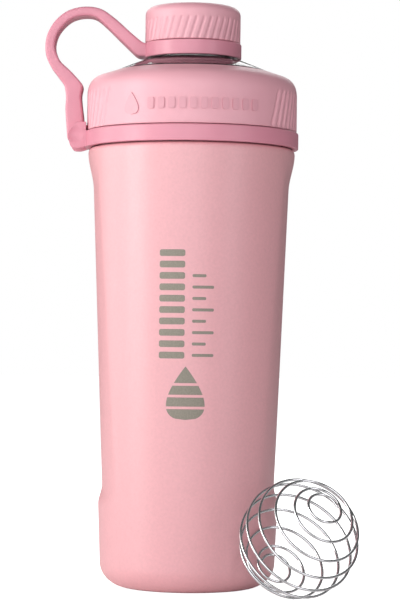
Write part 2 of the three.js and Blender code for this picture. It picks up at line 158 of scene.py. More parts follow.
def rounded(corners, steps=5):
    """Closed outline through corners (x, y, round), each cut back by round and joined with a curve."""
    points = []
    count = len(corners)
    for i, (x, y, cut) in enumerate(corners):
        here = Vector((x, y))
        if cut <= 0:
            points.append((x, y))
            continue
        before = Vector(corners[i - 1][:2]) - here
        after = Vector(corners[(i + 1) % count][:2]) - here
        start = here + before.normalized() * min(cut, before.length * 0.49)
        end = here + after.normalized() * min(cut, after.length * 0.49)
        for k in range(steps + 1):
            t = k / steps
            p = start * (1 - t) ** 2 + here * (2 * t * (1 - t)) + end * t**2
            points.append((p.x, p.y))
    return points


def arc(cx, cy, width, height, start, end, steps):
    angles = [math.radians(start + (end - start) * i / steps) for i in range(steps + 1)]
    return [(cx + width * math.cos(a), cy + height * math.sin(a)) for a in angles]


def subdivided(outline, longest):
    """The closed outline with long steps split, so that relief and curvature have points to work on."""
    points = []
    for i, a in enumerate(outline):
        b = outline[(i + 1) % len(outline)]
        parts = max(1, math.ceil(math.dist(a, b) / longest(a, b)))
        points += [(a[0] + (b[0] - a[0]) * k / parts, a[1] + (b[1] - a[1]) * k / parts) for k in range(parts)]
    return points


def revolved(name, outline, sides, material, relief=None, sharp_angle=38):
    """Revolves a closed outline of (radius, z). Azimuth is 0 at the front, -Y, and grows towards +X.

    relief(radius, z, azimuth) is how far a point is pushed inwards. Points on the axis are merged.
    """
    count = len(outline)
    verts = []
    for k in range(sides):
        azimuth = 2 * math.pi * k / sides
        for radius, z in outline:
            r = radius - (relief(radius, z, azimuth) if relief else 0)
            verts.append((r * math.sin(azimuth), -r * math.cos(azimuth), z))
    faces = []
    for k in range(sides):
        a, b = k * count, (k + 1) % sides * count
        for i in range(count):
            j = (i + 1) % count
            if outline[i][0] == 0 and outline[j][0] == 0:
                continue
            faces.append([a + i, b + i, b + j, a + j])
    return make_piece(name, verts, merged_poles(verts, faces), material, sharp_angle)


def merged_poles(verts, faces):
    """Faces whose corners on the axis share one point, so that none is left without area."""
    first = {}
    same = {}
    for i, v in enumerate(verts):
        if abs(v[0]) < 1e-9 and abs(v[1]) < 1e-9:
            same[i] = first.setdefault(round(v[2], 6), i)
    result = []
    for face in faces:
        corners = []
        for i in (same.get(i, i) for i in face):
            if i not in corners:
                corners.append(i)
        if len(corners) > 2:
            result.append(corners)
    return result


def lofted(sections, closed=False):
    """Points and faces of a skin through equal rings of points, with flat ends unless closed."""
    count = len(sections[0])
    verts = [p for section in sections for p in section]
    faces = []
    rows = len(sections)
    for r in range(rows if closed else rows - 1):
        a, b = r * count, (r + 1) % rows * count
        faces += [[a + i, a + (i + 1) % count, b + (i + 1) % count, b + i] for i in range(count)]
    if not closed:
        faces += [list(range(count))[::-1], list(range((rows - 1) * count, rows * count))]
    return verts, faces


def tube(points, radius, sides, taper=0):
    """A round tube along points, whose ends are drawn in over taper points."""
    sections = []
    normal = None
    last = len(points) - 1
    for i, point in enumerate(points):
        tangent = (points[min(i + 1, last)] - points[max(i - 1, 0)]).normalized()
        if normal is None:
            normal = tangent.orthogonal().normalized()
        normal = (normal - tangent * normal.dot(tangent)).normalized()
        side = tangent.cross(normal)
        from_end = min(i, last - i)
        r = radius
        if from_end < taper:
            r = radius * math.sqrt(max(0.04, 1 - (1 - from_end / taper) ** 2))
        ring = []
        for k in range(sides):
            a = 2 * math.pi * k / sides
            ring.append(point + normal * (r * math.cos(a)) + side * (r * math.sin(a)))
        sections.append(ring)
    return lofted(sections)


def joined(first, *others):
    """Makes one object of several and returns it."""
    bpy.ops.object.select_all(action="DESELECT")
    for obj in (first, *others):
        obj.select_set(True)
    bpy.context.view_layer.objects.active = first
    bpy.ops.object.join()
    return first


def combined(obj, other, operation):
    """Boolean of obj with other, applied; other is removed."""
    modifier = obj.modifiers.new(operation, "BOOLEAN")
    modifier.operation = operation
    modifier.solver = "EXACT"
    modifier.object = other
    bpy.context.view_layer.objects.active = obj
    bpy.ops.object.modifier_apply(modifier=modifier.name)
    bpy.data.objects.remove(other)
    return obj


def smooth_step(low, high, value):
    t = min(max((value - low) / (high - low), 0), 1)
    return t * t * (3 - 2 * t)


def spline(points, per_span=8):
    """Smooth curve through points (Catmull-Rom), as a list of vectors."""
    knots = [Vector(p) for p in points]
    padded = [2 * knots[0] - knots[1], *knots, 2 * knots[-1] - knots[-2]]
    result = []
    for i in range(1, len(padded) - 2):
        a, b = padded[i], padded[i + 1]
        out_handle = a + (b - padded[i - 1]) / 6
        in_handle = b - (padded[i + 2] - a) / 6
        result += [p.copy() for p in interpolate_bezier(a, out_handle, in_handle, b, per_span + 1)[:-1]]
    return [*result, knots[-1]]


# ---------------------------------------------------------------- materials


def principled(name, color, roughness, **sockets):
    material = bpy.data.materials.new(name)
    material.use_nodes = True
    shader = material.node_tree.nodes["Principled BSDF"]
    shader.inputs["Base Color"].default_value = (*color, 1)
    shader.inputs["Roughness"].default_value = roughness
    for socket, value in sockets.items():
        shader.inputs[socket.replace("_", " ")].default_value = value
    return material


def object_noise(material, scale, detail=2.0, stretch=(1, 1, 1)):
    """Noise in the object's own metres; scale is in features per metre."""
    nodes, links = material.node_tree.nodes, material.node_tree.links
    coordinates = nodes.new("ShaderNodeTexCoord")
    mapping = nodes.new("ShaderNodeMapping")
    mapping.inputs["Scale"].default_value = stretch
    texture = nodes.new("ShaderNodeTexNoise")
    texture.inputs["Scale"].default_value = scale
    texture.inputs["Detail"].default_value = detail
    links.new(coordinates.outputs["Object"], mapping.inputs["Vector"])
    links.new(mapping.outputs["Vector"], texture.inputs["Vector"])
    return texture.outputs["Fac"]


def add_bump(material, height, strength, distance):
    nodes, links = material.node_tree.nodes, material.node_tree.links
    bump = nodes.new("ShaderNodeBump")
    bump.inputs["Strength"].default_value = strength
    bump.inputs["Distance"].default_value = distance
    links.new(height, bump.inputs["Height"])
    links.new(bump.outputs["Normal"], nodes["Principled BSDF"].inputs["Normal"])


def vary(material, fac, socket, low, high):
    """Drives a socket between two values, or two colours, by a noise."""
    nodes, links = material.node_tree.nodes, material.node_tree.links
    target = nodes["Principled BSDF"].inputs[socket]
    if hasattr(low, "__len__"):
        ramp = nodes.new("ShaderNodeValToRGB")
        ramp.color_ramp.elements[0].position = 0.3
        ramp.color_ramp.elements[0].color = (*low, 1)
        ramp.color_ramp.elements[1].position = 0.7
        ramp.color_ramp.elements[1].color = (*high, 1)
        links.new(fac, ramp.inputs["Fac"])
        links.new(ramp.outputs["Color"], target)
        return
    remap = nodes.new("ShaderNodeMapRange")
    remap.inputs["From Min"].default_value = 0.3
    remap.inputs["From Max"].default_value = 0.7
    remap.inputs["To Min"].default_value = low
    remap.inputs["To Max"].default_value = high
    links.new(fac, remap.inputs["Value"])
    links.new(remap.outputs["Result"], target)


def tinted(color, factor):
    return tuple(min(1.0, c * factor) for c in color)


def powder_coat():
    color = (0.76, 0.385, 0.415)
    finish = {"Specular_IOR_Level": 0.8, "Coat_Weight": 0.15, "Coat_Roughness": 0.4}
    material = principled("powder_coat", color, 0.42, **finish)
    vary(material, object_noise(material, 900, 3), "Base Color", tinted(color, 0.965), tinted(color, 1.035))
    vary(material, object_noise(material, 260, 2), "Roughness", 0.38, 0.46)
    add_bump(material, object_noise(material, 1500, 3), 0.35, 0.00006)
    return material


def moulded(name, color, roughness=0.45):
    material = principled(name, color, roughness, Specular_IOR_Level=0.75)
    vary(material, object_noise(material, 60, 2), "Base Color", tinted(color, 0.985), tinted(color, 1.015))
    vary(material, object_noise(material, 400, 2), "Roughness", roughness - 0.04, roughness + 0.04)
    add_bump(material, object_noise(material, 2600, 2), 0.18, 0.00004)
    return material


def clear_plastic():
    material = principled("clear_plastic", (0.97, 0.96, 0.965), 0.04, Transmission_Weight=1.0, IOR=1.54)
    vary(material, object_noise(material, 120, 2), "Roughness", 0.02, 0.07)
    return material


def brushed_steel():
    color = (0.62, 0.62, 0.61)
    material = principled("brushed_steel", color, 0.28, Metallic=1.0)
    turned = object_noise(material, 900, 3, stretch=(0.15, 0.15, 1))
    vary(material, turned, "Roughness", 0.22, 0.36)
    add_bump(material, turned, 0.2, 0.00003)
    return material


def bright_wire():
    color = (0.74, 0.755, 0.77)
    material = principled("bright_wire", color, 0.1, Metallic=1.0)
    drawn = object_noise(material, 700, 2)
    vary(material, drawn, "Roughness", 0.07, 0.16)
    add_bump(material, drawn, 0.1, 0.00003)
    return material


def silicone():
    material = principled("silicone", (0.86, 0.86, 0.84), 0.62)
    vary(material, object_noise(material, 300, 2), "Roughness", 0.56, 0.7)
    add_bump(material, object_noise(material, 1800, 2), 0.2, 0.00004)
    return material


def etched_metal():
    color = (0.262, 0.243, 0.2)
    material = principled("etched_metal", color, 0.55, Metallic=0.25)
    vary(material, object_noise(material, 1600, 2), "Base Color", tinted(color, 0.9), tinted(color, 1.1))
    add_bump(material, object_noise(material, 2400, 2), 0.3, 0.00004)
    return material


def dull_metal():
    material = principled("dull_metal", (0.33, 0.33, 0.34), 0.6, Metallic=0.9)
    add_bump(material, object_noise(material, 1500, 3), 0.5, 0.00008)
    return material


COAT = powder_coat()
LID = moulded("lid_plastic", (0.77, 0.385, 0.445))
# Lid plastic tinted darker for the emblem: painted shade along its raised edges, not a colour of its own.
EMBLEM_PAINTED_SHADE = moulded("emblem_painted_shade", (0.70, 0.335, 0.395))
LOOP = moulded("loop_plastic", (0.69, 0.265, 0.345), 0.42)
CLEAR = clear_plastic()
STEEL = brushed_steel()
WIRE = bright_wire()
SILICONE = silicone()
ETCHED = etched_metal()
DULL = dull_metal()


# ---------------------------------------------------------------- bottle


def body_radius(z):
    return BASE_RADIUS + TAPER * z


def grip_depth(radius, z, azimuth):
    """How far the grip recess is pressed in: nothing at the front, most at +X and -X."""
    if radius < FOOT_RADIUS or z > SHOULDER_Z:
        return 0
    rise = smooth_step(*GRIP_LOW_Z, z)
    fall = 1 - smooth_step(*GRIP_HIGH_Z, z)
    along = (z - GRIP_LOW_Z[1]) / (GRIP_HIGH_Z[0] - GRIP_LOW_Z[1])
    half = GRIP_HALF_ANGLE[0] + (GRIP_HALF_ANGLE[1] - GRIP_HALF_ANGLE[0]) * along
    angle = math.atan2(abs(math.cos(azimuth)), abs(math.sin(azimuth)))
    inside = 1 - (angle / half) ** 2
    soft = (inside + math.sqrt(inside**2 + CREASE_SOFTNESS)) / 2
    return GRIP_DEPTH * rise * fall * soft


def helical_ridge(radius, pitch, turns, low_z, section, material):
    """A round-section screw thread from the +X side, rising anticlockwise."""
    steps = math.ceil(72 * turns)
    points = []
    for i in range(steps + 1):
        a = 2 * math.pi * turns * i / steps
        points.append(Vector((radius * math.cos(a), radius * math.sin(a), low_z + pitch * turns * i / steps)))
    return make_piece("thread", *tube(points, section, 12, taper=6), material)


def outer_shell():
    foot_width = body_radius(FOOT_HEIGHT) - FOOT_RADIUS
    shoulder = [
        (body_radius(SHOULDER_Z), SHOULDER_Z),
        (body_radius(SHOULDER_Z) - 0.15, SHOULDER_Z + 0.9),
        (body_radius(SHOULDER_Z) - 0.6, SHOULDER_Z + 1.7),
        (body_radius(SHOULDER_Z) - 1.4, SHOULDER_TOP_Z),
        (NECK_RADIUS + 0.6, SHOULDER_TOP_Z + 0.15),
        (NECK_RADIUS, SHOULDER_TOP_Z + 0.8),
        (NECK_RADIUS, NECK_TOP_Z),
    ]
    inner_radius = NECK_RADIUS - SHELL_WALL
    inside = [
        (inner_radius, NECK_TOP_Z),
        (inner_radius, SHOULDER_TOP_Z - SHELL_WALL),
        (body_radius(SHOULDER_Z) - 2, SHOULDER_Z + 1),
        (body_radius(SHOULDER_Z) - 2.6, SHOULDER_Z - 2),
        (body_radius(FOOT_HEIGHT) - 3.6, FOOT_HEIGHT),
        (FOOT_RADIUS + 3, PLATE_HIGH_Z + 1.2),
        (2.2, PLATE_HIGH_Z + 1.2),
        (2.2, PLATE_HIGH_Z + 0.3),
        (PLATE_RADIUS + 0.3, PLATE_HIGH_Z + 0.3),
        (PLATE_RADIUS + 0.3, 0.25),
        (PLATE_RADIUS + 0.5, 0),
    ]
    outline = [*arc(FOOT_RADIUS, FOOT_HEIGHT, foot_width, FOOT_HEIGHT, -90, 0, 16), *shoulder, *inside]
    outline = subdivided(outline, lambda a, b: 1.6 if a[0] > 38 and b[1] > a[1] else 60)

    def relief(radius, z, azimuth):
        return grip_depth(radius, z, azimuth) if radius > body_radius(z) - 1.9 else 0

    shell = revolved("bottle_shell", outline, 240, COAT, relief)
    thread = helical_ridge(NECK_RADIUS + 0.4, LID_PITCH, LID_THREAD_TURNS, 201.2, 1.1, COAT)
    return joined(shell, thread)


def inner_liner():
    inset = 5.2
    wall = 0.8
    floor_z = 8.8
    bend = 12
    low_z = floor_z + bend
    low_radius = body_radius(low_z) - inset
    high_radius = body_radius(184) - inset
    outside = [
        (0, floor_z - wall),
        *arc(low_radius - bend - wall, low_z, bend + wall, bend + wall, -90, 0, 10),
        (high_radius, 184),
        (high_radius - 0.3, 187),
        (39.2, 194),
        (39.0, 197),
        (39.0, NECK_TOP_Z + 0.3),
        (NECK_RADIUS - 0.1, NECK_TOP_Z + 0.3),
        (NECK_RADIUS, NECK_TOP_Z + 0.5),
        (NECK_RADIUS, RIM_Z - 0.4),
        (NECK_RADIUS - 0.4, RIM_Z),
    ]
    inside = [
        (38.6, RIM_Z),
        (38.2, RIM_Z - 0.4),
        (38.2, 197),
        (38.4, 194),
        (high_radius - wall - 0.3, 187),
        (high_radius - wall, 184),
        *arc(low_radius - bend - wall, low_z, bend, bend, 0, -90, 10),
        (0, floor_z),
    ]
    return revolved("inner_liner_visual", [*outside, *inside], 120, STEEL)


def base_plate():
    corners = [
        (0, PLATE_HIGH_Z, 0),
        (0, PLATE_LOW_Z, 0),
        (19, PLATE_LOW_Z, 0.5),
        (19.7, PLATE_LOW_Z + 0.5, 0.4),
        (21.3, PLATE_LOW_Z + 0.5, 0.4),
        (22, PLATE_LOW_Z, 0.5),
        (PLATE_RADIUS, PLATE_LOW_Z, 0.3),
        (PLATE_RADIUS, PLATE_HIGH_Z, 0.2),
    ]
    return revolved("base_plate_visual", rounded(corners, 3), 120, STEEL)


def inlay(name, rows, lift, sink, place, material, columns=8):
    """Thin plate that follows a surface: rows are (z, left, right), and place(x, z, lift) gives a point."""
    sections = []
    for z, left, right in rows:
        xs = [left + (right - left) * i / columns for i in range(columns + 1)]
        sections.append([place(x, z, lift) for x in xs] + [place(x, z, -sink) for x in reversed(xs)])
    return make_piece(name, *lofted(sections), material, sharp_angle=30)


def bar_rows(low, high, left, right, round_off):
    """Rows of a bar with rounded corners."""
    rows = []
    steps = 5
    for i in range(steps + 1):
        a = math.pi / 2 * i / steps
        cut = round_off * (1 - math.sin(a))
        rows.append((low + round_off * (1 - math.cos(a)), left + cut, right - cut))
    return rows + [(low + high - z, l, r) for z, l, r in reversed(rows)]


def drop_half_width(t):
    """Half width of a water drop, as a share of its height; t is 0 at the foot and 1 at the tip."""
    return 0.43 * math.sqrt(max(0, math.sin(math.pi * t**0.72))) * (1 - t) ** 0.42


def drop_rows(low, height, centre, start, end, steps):
    rows = []
    for i in range(steps + 1):
        t = start + (end - start) * i / steps
        w = max(drop_half_width(t) * height, 0.05)
        rows.append((low + t * height, centre - w, centre + w))
    return rows


def on_body(x, z, lift):
    radius = body_radius(z)
    azimuth = x / radius
    return ((radius + lift) * math.sin(azimuth), -(radius + lift) * math.cos(azimuth), z)


def front_mark():
    """Plain etched mark: a drop cut by level lines under a column of gauge bars."""
    lift, sink = 0.05, 0.2
    plates = []

    def add(rows):
        plates.append(inlay("front_mark", rows, lift, sink, on_body, ETCHED))

    drop_low, drop_height, drop_centre = 76, 23, -1.4
    for start, end in ((0.0, 0.2), (0.25, 0.42), (0.47, 0.64), (0.69, 1.0)):
        add(drop_rows(drop_low, drop_height, drop_centre, start, end, 10))
    for i in range(10):
        low = 102.4 + 4.9 * i
        add(bar_rows(low, low + 2.9, -13.2, -2.0, 0.9))
    for i in range(8):
        low = 103.2 + 4.9 * i
        add(bar_rows(low, low + 1.3, 1.2, 10.6 if i % 2 == 0 else 7.2, 0.55))
    return joined(*plates)


# ---------------------------------------------------------------- lid


def rib_depth(fraction):
    """Depth across one rib, as a share of the groove's: a broad crown, a slope down and a short wall."""
    wall = 0.26
    slope = 0.42
    if fraction > 1 - wall:
        return 1 - smooth_step(1 - wall, 1, fraction)
    return smooth_step(1 - wall - slope, 1 - wall, fraction) ** 0.9


def lid_ribs(radius, z, azimuth):
    if radius < LID_RADIUS - 1.2 or not LID_RIB_Z[0] - 1 < z < LID_RIB_Z[1] + 1:
        return 0
    slant = (z - LID_LOW_Z) * RIB_LEAN / LID_RADIUS
    degrees = (math.degrees(azimuth - slant) + 180) % 360 - 180
    for low, high in LID_RIB_ZONES:
        if low <= degrees <= high:
            pitch = (high - low) / round(math.radians(high - low) * LID_RADIUS / LID_RIB_PITCH)
            fade = smooth_step(LID_RIB_Z[0] - 0.5, LID_RIB_Z[0] + 0.5, z)
            fade *= 1 - smooth_step(LID_RIB_Z[1] - 2.2, LID_RIB_Z[1] + 0.6, z)
            return LID_RIB_DEPTH * fade * rib_depth((degrees - low) / pitch % 1)
    return 0


def lid_shoulder(inset, steps):
    radius = LID_RADIUS - inset
    start, corner = Vector((radius, 219.5)), Vector((radius, 226.2 - inset))
    end = Vector((radius - 4.6 + 0.6 * inset, 228 - inset))
    points = []
    for i in range(steps + 1):
        t = i / steps
        p = start * (1 - t) ** 2 + corner * (2 * t * (1 - t)) + end * t**2
        points.append((p.x, p.y))
    return points


def lid_shell():
    opening = LID_OPENING_RADIUS
    outer = [
        (LID_RADIUS - 0.5, LID_LOW_Z),
        (LID_RADIUS - 0.12, LID_LOW_Z + 0.12),
        (LID_RADIUS, LID_LOW_Z + 0.5),
        *lid_shoulder(0, 12),
        (opening + 1.0, LID_HIGH_Z - 0.3),
        (opening + 0.35, LID_HIGH_Z - 0.1),
        (opening + 0.05, LID_HIGH_Z - 0.35),
        (opening, LID_HIGH_Z - 0.8),
    ]
    inner = [(opening, LID_HIGH_Z - 2), *reversed(lid_shoulder(2, 8)), (LID_RADIUS - 2, LID_LOW_Z)]
    outline = subdivided([*outer, *inner], lambda a, b: 0.5 if min(a[0], b[0]) > LID_RADIUS - 1 else 3)
    return revolved("lid_shell_visual", outline, 960, LID, lid_ribs, sharp_angle=50)


def on_lid(x, z, lift):
    azimuth = x / LID_RADIUS
    radius = LID_RADIUS + lift
    return (radius * math.sin(azimuth), -radius * math.cos(azimuth), z)


def lid_emblem():
    """Low relief on the lid's front: a drop and a row of plain blocks, tinted darker than the lid as painted
    shade.
    """
    lift, sink = 0.5, 0.4
    plates = [inlay("lid_emblem", drop_rows(207.8, 9.6, -27.5, 0, 1, 20), lift, sink, on_lid, EMBLEM_PAINTED_SHADE)]
    for i in range(11):
        left = -19.5 + 4.7 * i
        block = bar_rows(210, 215, left, left + 2.9, 0.8)
        plates.append(inlay("lid_emblem", block, lift, sink, on_lid, EMBLEM_PAINTED_SHADE))
    return joined(*plates)


def lid_core():
    wall = 2.2
    lip = LID_OPENING_RADIUS - GAP
    cone = (21.5, 236.0)
    spout = SPOUT_RADIUS
    root_z = 235.2
    outset = LID_WALL + GAP
    outline = [
        (CORE_RADIUS, CORE_LOW_Z),
        *lid_shoulder(outset, 8),
        (lip, LID_HIGH_Z - 2.2),
        (lip, LID_HIGH_Z - 0.1),
        (lip - 0.2, LID_HIGH_Z + 0.3),
        (lip - 0.8, LID_HIGH_Z + 0.6),
        (cone[0] + 0.8, cone[1] - 0.3),
        (cone[0], cone[1] - 0.1),
        (cone[0] - 0.8, root_z),
        (spout + 0.6, root_z),
        (spout, root_z + 0.6),
        (spout, SPOUT_TOP_Z - 0.5),
        (spout - 0.5, SPOUT_TOP_Z),
        (spout - 1.1, SPOUT_TOP_Z),
        (spout - 1.6, SPOUT_TOP_Z - 0.5),
        (spout - 1.6, root_z - wall + 0.8),
        (spout - 0.8, root_z - wall),
        (cone[0], cone[1] - 1.2 * wall),
        (lip - 1, LID_HIGH_Z - 2 - wall),
        *reversed(lid_shoulder(outset + wall, 8)[1:]),
        (42.5, 217),
        (38.0, SEAL_HIGH_Z + 2.1),
        (38.0, SEAL_HIGH_Z + 0.3),
        (42.5, SEAL_HIGH_Z + 0.3),
        (42.5, CORE_LOW_Z),
    ]
    core = revolved("lid_core_visual", outline, 160, CLEAR)
    lid_thread = helical_ridge(CORE_THREAD_RADIUS, LID_PITCH, LID_THREAD_TURNS, 199.2, 1.1, CLEAR)
    spout_thread = helical_ridge(spout + 0.3, CAP_PITCH, CAP_THREAD_TURNS, 246, 0.9, CLEAR)
    return joined(core, lid_thread, spout_thread)


def lid_seal():
    corners = [
        (37.9, SEAL_LOW_Z, 0.5),
        (42.0, SEAL_LOW_Z, 0.4),
        (42.0, SEAL_HIGH_Z, 0.4),
        (37.9, SEAL_HIGH_Z, 0.4),
    ]
    return revolved("lid_seal_visual", rounded(corners, 4), 120, SILICONE)


def ring_outline(inner, outer, low, high, edge):
    corners = [(inner, low, 0.15), (outer, low, edge), (outer, high, edge), (inner, high, 0.15)]
    return rounded(corners, 4)


def extruded(name, outline, y_low, y_high, edge, material):
    """A plate in the XZ plane between two Y positions, with rounded edges."""
    verts = [(x, y_low, z) for x, z in outline] + [(x, y_high, z) for x, z in outline]
    count = len(outline)
    faces = [list(range(count)), list(range(2 * count - 1, count - 1, -1))]
    faces += [[i, i + count, (i + 1) % count + count, (i + 1) % count] for i in range(count)]
    plate = make_piece(name, verts, faces, material)
    rims = plate.modifiers.new("rims", "BEVEL")
    rims.width = edge * MM
    rims.segments = 4
    rims.limit_method = "ANGLE"
    rims.angle_limit = math.radians(50)
    bpy.context.view_layer.objects.active = plate
    bpy.ops.object.modifier_apply(modifier=rims.name)
    return plate


def ball(name, centre, radius, material):
    work = bmesh.new()
    bmesh.ops.create_icosphere(work, subdivisions=4, radius=radius)
    bmesh.ops.translate(work, verts=work.verts, vec=centre)
    verts = [tuple(v.co) for v in work.verts]
    faces = [[v.index for v in f.verts] for f in work.faces]
    work.free()
    return make_piece(name, verts, faces, material)


def ear(side):
    """One hinge ear with a shallow dimple over the pin; side is -1 at the front and 1 at the back."""
    near = LOOP_HALF_WIDTH + GAP
    far = near + EAR_THICKNESS
    outline = rounded(
        [
            (-47.15, 207.3, 0.4),
            (-51.6, 207.3, 1.4),
            (-55.2, 202.3, 1.2),
            (-54.9, 199.3, 0.6),
            (-53.9, 195.4, 2.6),
            (-50.0, 195.4, 1.0),
            (-46.2, 196.6, 0.2),
            (-46.2, 203.4, 0),
            (-47.15, 203.4, 0),
        ],
        5,
    )
    plate = extruded("ear", outline, min(side * near, side * far), max(side * near, side * far), 0.5, LOOP)
    dimple = ball("dimple", (HINGE_X, side * (far + 9.3), HINGE_Z), 10, LOOP)
    return combined(plate, dimple, "DIFFERENCE")


def loop_base_ring():
    corners = [
        (CORE_RADIUS + GAP, RING_LOW_Z - 0.2, 0.15),
        (RING_RADIUS, RING_LOW_Z - 0.2, 0.35),
        (RING_RADIUS, RING_HIGH_Z, 0.8),
        (CORE_RADIUS + GAP, RING_HIGH_Z, 0.15),
    ]
    ring = revolved("loop_base_ring_visual", rounded(corners, 4), 180, LOOP)
    ring = combined(ring, ear(-1), "UNION")
    ring = combined(ring, ear(1), "UNION")
    finish_mesh(ring, 32)
    return ring


def hinge_pin():
    half = LOOP_HALF_WIDTH + 2
    points = [Vector((HINGE_X, -half + 2 * half * i / 12, HINGE_Z)) for i in range(13)]
    return make_piece("hinge_pin_visual", *tube(points, 1.5, 24), STEEL)


# Points on the loop's outer and inner face, in pairs, from the hinge over the arch to the tether ring.
LOOP_STATIONS = [
    ((-55.8, 201.3), (-48.2, 201.3)),
    ((-56.3, 207.5), (-48.6, 209.0)),
    ((-56.7, 213.5), (-49.3, 214.8)),
    ((-56.5, 218.0), (-49.7, 219.6)),
    ((-56.8, 221.3), (-49.1, 223.4)),
    ((-57.6, 224.3), (-50.0, 225.4)),
    ((-60.7, 228.6), (-54.6, 230.4)),
    ((-63.4, 232.2), (-58.9, 234.4)),
    ((-65.5, 236.8), (-61.1, 238.6)),
    ((-66.0, 242.2), (-61.7, 242.4)),
    ((-64.8, 247.7), (-60.5, 247.0)),
    ((-61.2, 253.4), (-57.6, 251.0)),
    ((-55.6, 257.6), (-53.6, 254.0)),
    ((-48.4, 259.3), (-48.4, 255.2)),
    ((-41.2, 258.3), (-43.4, 254.4)),
    ((-34.6, 253.9), (-38.4, 250.4)),
    ((-28.6, 248.6), (-32.6, 244.8)),
    ((-24.6, 245.2), (-27.9, 240.3)),
    ((-22.6, 243.7), (-24.6, 237.5)),
    ((-21.0, 243.1), (-21.0, 237.0)),
]


def loop_section(outer, inner, half_width, edge, per_corner=4):
    """Rounded rectangle between an outer and an inner point, as wide as the loop."""
    across = outer - inner
    thickness = across.length
    direction = across.normalized()
    round_off = min(edge, thickness * 0.45)
    ring = []
    for cx, cy, turn in ((1, 1, 0), (-1, 1, 90), (-1, -1, 180), (1, -1, 270)):
        for k in range(per_corner + 1):
            a = math.radians(turn + 90 * k / per_corner)
            along = cx * (thickness / 2 - round_off) + round_off * math.cos(a)
            y = cy * (half_width - round_off) + round_off * math.sin(a)
            point = inner + direction * (thickness / 2 + along)
            ring.append((point.x, y, point.y))
    return ring


def carry_loop():
    """The flexible loop: rounded foot round the pin, root, arch, and the end that joins the tether ring."""
    outer = spline([Vector((*o, 0)) for o, _ in LOOP_STATIONS])
    inner = spline([Vector((*i, 0)) for _, i in LOOP_STATIONS])
    sections = []
    radius = 3.8
    for k in range(8):
        a = math.radians(-85 + 85 * k / 8)
        left = Vector((HINGE_X - radius * math.cos(a), HINGE_Z + radius * math.sin(a)))
        right = Vector((HINGE_X + radius * math.cos(a), HINGE_Z + radius * math.sin(a)))
        sections.append(loop_section(left, right, LOOP_HALF_WIDTH, 1.0))
    for o, i in zip(outer, inner):
        sections.append(loop_section(o.xy, i.xy, LOOP_HALF_WIDTH, 1.1))
    return make_piece("carry_loop_visual", *lofted(sections), LOOP, sharp_angle=60)


# ---------------------------------------------------------------- cap


def tether_ring():
    return revolved(
        "tether_ring_visual", ring_outline(19.9, TETHER_RADIUS, TETHER_LOW_Z, TETHER_HIGH_Z, 0.5), 120, LOOP
    )


def cap_ribs(radius, z, azimuth):
    if radius < CAP_RADIUS - 0.8 or z > CAP_RIB_Z[1] + 0.5:
        return 0
    turn = (azimuth - (z - CAP_LOW_Z) * RIB_LEAN / CAP_RADIUS) / (2 * math.pi) * CAP_RIBS
    fraction = turn % 1
    top = CAP_RIB_Z[1] - 1.6 * abs(2 * fraction - 1) ** 2
    fade = 1 - smooth_step(top - 1.0, top, z)
    return CAP_RIB_DEPTH * fade * rib_depth(fraction)


def cap_shell():
    bend, bend_height = 4.5, 3.8
    outer = [
        (CAP_RADIUS - 0.3, CAP_LOW_Z),
        (CAP_RADIUS, CAP_LOW_Z + 0.3),
        *arc(CAP_RADIUS - bend, CAP_TOP_Z - bend_height, bend, bend_height, 0, 90, 14),
        (8, CAP_TOP_Z),
        (0, CAP_TOP_Z),
    ]
    ceiling = CAP_TOP_Z - 1.3
    inner = [(0, ceiling), (17.2, ceiling), (19.8, ceiling - 2.6), (19.8, CAP_LOW_Z)]
    outline = subdivided([*outer, *inner], lambda a, b: 0.45 if min(a[0], b[0]) > CAP_RADIUS - 0.6 else 4)
    return revolved("cap_shell_visual", outline, 640, LID, cap_ribs, sharp_angle=60)


def cap_core():
    inner, ceiling = 18.2, 257.2
    wall = 19.5
    lip = 20.6
    outline = [
        (0, ceiling),
        (inner - 0.5, ceiling),
        (inner, ceiling - 0.5),
        (inner, CAP_CORE_LOW_Z + 0.2),
        (inner + 0.2, CAP_CORE_LOW_Z),
        (lip, CAP_CORE_LOW_Z),
        (lip, CAP_CORE_LOW_Z + 0.7),
        (wall, CAP_CORE_LOW_Z + 0.7),
        (wall, CAP_CORE_HIGH_Z - 2.6),
        (wall - 2.6, CAP_CORE_HIGH_Z),
        (0, CAP_CORE_HIGH_Z),
    ]
    core = revolved("cap_core_visual", outline, 96, CLEAR)
    thread = helical_ridge(inner - 0.2, CAP_PITCH, CAP_THREAD_TURNS, 244.2, 0.9, CLEAR)
    return joined(core, thread)


def cap_seal():
    low, high = cad_size("cap_seal")[1:]
    corners = [(0, low, 0), (17.9, low, 0.4), (17.9, high, 0.4), (0, high, 0)]
    return revolved("cap_seal_visual", rounded(corners, 3), 96, SILICONE)


# ---------------------------------------------------------------- whisk ball


def whisk_ball():
    """One wire wound from pole to pole on a sphere, its ends rounded."""
    all_turns = BALL_TURNS + 2 * BALL_RING_TURNS
    steps = int(72 * all_turns)
    radius = BALL_RADIUS - WIRE_RADIUS
    across = Vector((0, 0, 1)).cross(BALL_POLE).normalized()
    upward = BALL_POLE.cross(across)
    centre = (BALL_LOW + BALL_HIGH) / 2 / MM
    points = []
    for i in range(steps + 1):
        turns = all_turns * i / steps
        along = min(max((turns - BALL_RING_TURNS) / BALL_TURNS, 0), 1)
        polar = BALL_RING_ANGLE + (math.pi - 2 * BALL_RING_ANGLE) * along
        turn = 2 * math.pi * turns
        ring = across * math.cos(turn) + upward * math.sin(turn)
        points.append(centre + (ring * math.sin(polar) + BALL_POLE * math.cos(polar)) * radius)
    return make_piece("whisk_ball_visual", *tube(points, WIRE_RADIUS, 14, taper=3), WIRE)


# ---------------------------------------------------------------- assembly


def place(piece, body, slot, *nodes):
    """Lets a piece ride on a body, in place of CAD nodes; slot is not used."""
    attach(piece, body)
    if nodes:
        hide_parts(*nodes)


